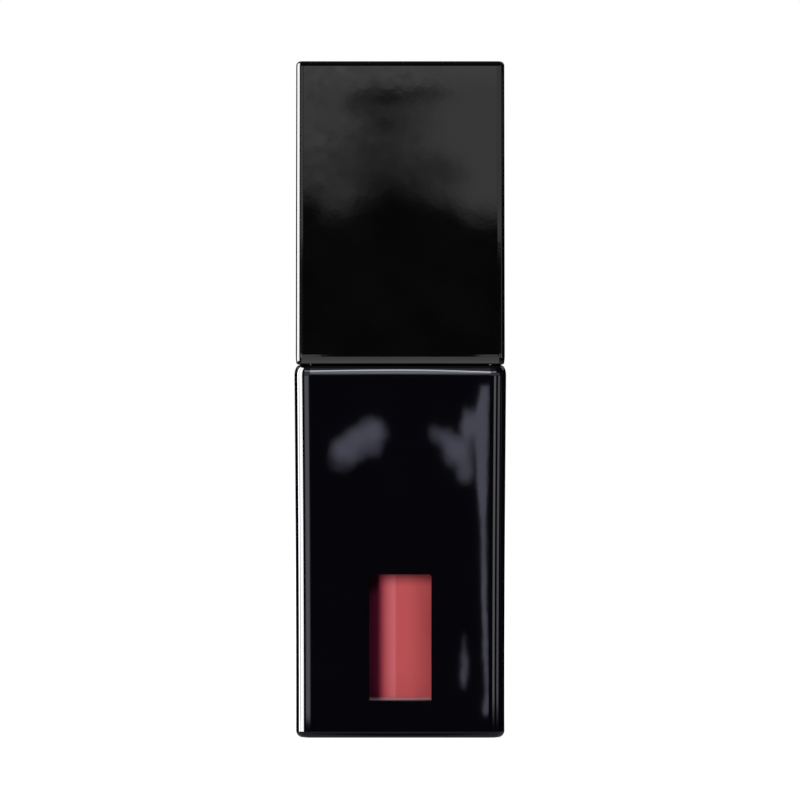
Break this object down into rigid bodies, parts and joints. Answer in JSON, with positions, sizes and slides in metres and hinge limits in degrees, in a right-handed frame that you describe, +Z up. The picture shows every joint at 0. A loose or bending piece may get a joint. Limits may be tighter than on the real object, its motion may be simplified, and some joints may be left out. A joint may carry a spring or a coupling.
{
  "type": "liquid lip colour bottle",
  "caption": "Square black bottle of liquid lip colour with a window in its lacquer, a tall screw cap, a wiper and a flocked wand.",
  "frame": {"origin": "centre of the base, on the surface that the bottle stands on", "axes": "+Z up along the bottle and the cap's axis; -Y out of the face with the window; +X to the right as the window is faced"},
  "size_m": [0.022, 0.022, 0.0703],
  "materials": {
    "clear_glass": "polished thick clear glass",
    "black_lacquer": "sprayed black lacquer, mirror gloss",
    "label_paper": "blank satin label stock",
    "lip_liquid": "opaque rosy liquid colour",
    "wiper_ldpe": "milky soft polyethylene",
    "cap_black": "moulded black plastic, high gloss",
    "insert_pp": "moulded black polypropylene, satin",
    "weight_steel": "turned mild steel, zinc plated",
    "stem_black": "polished black plastic rod",
    "tip_core": "moulded soft plastic",
    "flocking": "short dense nylon flock, wet with colour"
  },
  "bodies": {
    "bottle": {"glass_bottle": "clear_glass", "lacquer_coat": "black_lacquer", "base_label": "label_paper", "lip_color": "lip_liquid", "wiper": "wiper_ldpe"},
    "draw_carrier": {"cap_weight": "weight_steel"},
    "screw_carrier": {"wand_stem": "stem_black"},
    "cap": {"outer_cap": "cap_black", "inner_cap": "insert_pp", "applicator_tip": "tip_core", "applicator_flock": "flocking"}
  },
  "joints": [
    {"name": "cap_draw", "type": "slide", "parent": "bottle", "child": "draw_carrier", "axis": [0, 0, 1], "range_m": [0, 0.054]},
    {"name": "cap_rise", "type": "slide", "parent": "draw_carrier", "child": "screw_carrier", "axis": [0, 0, 1], "range_m": [0, 0.0032]},
    {"name": "cap_turn", "type": "hinge", "parent": "screw_carrier", "child": "cap", "pos_m": [0, 0, 0.04], "axis": [0, 0, 1], "range_deg": [0, 450]}
  ],
  "couplings": [
    {"joint": "cap_rise", "follows": "cap_turn", "m_per_rad": 0.00039789}
  ]
}
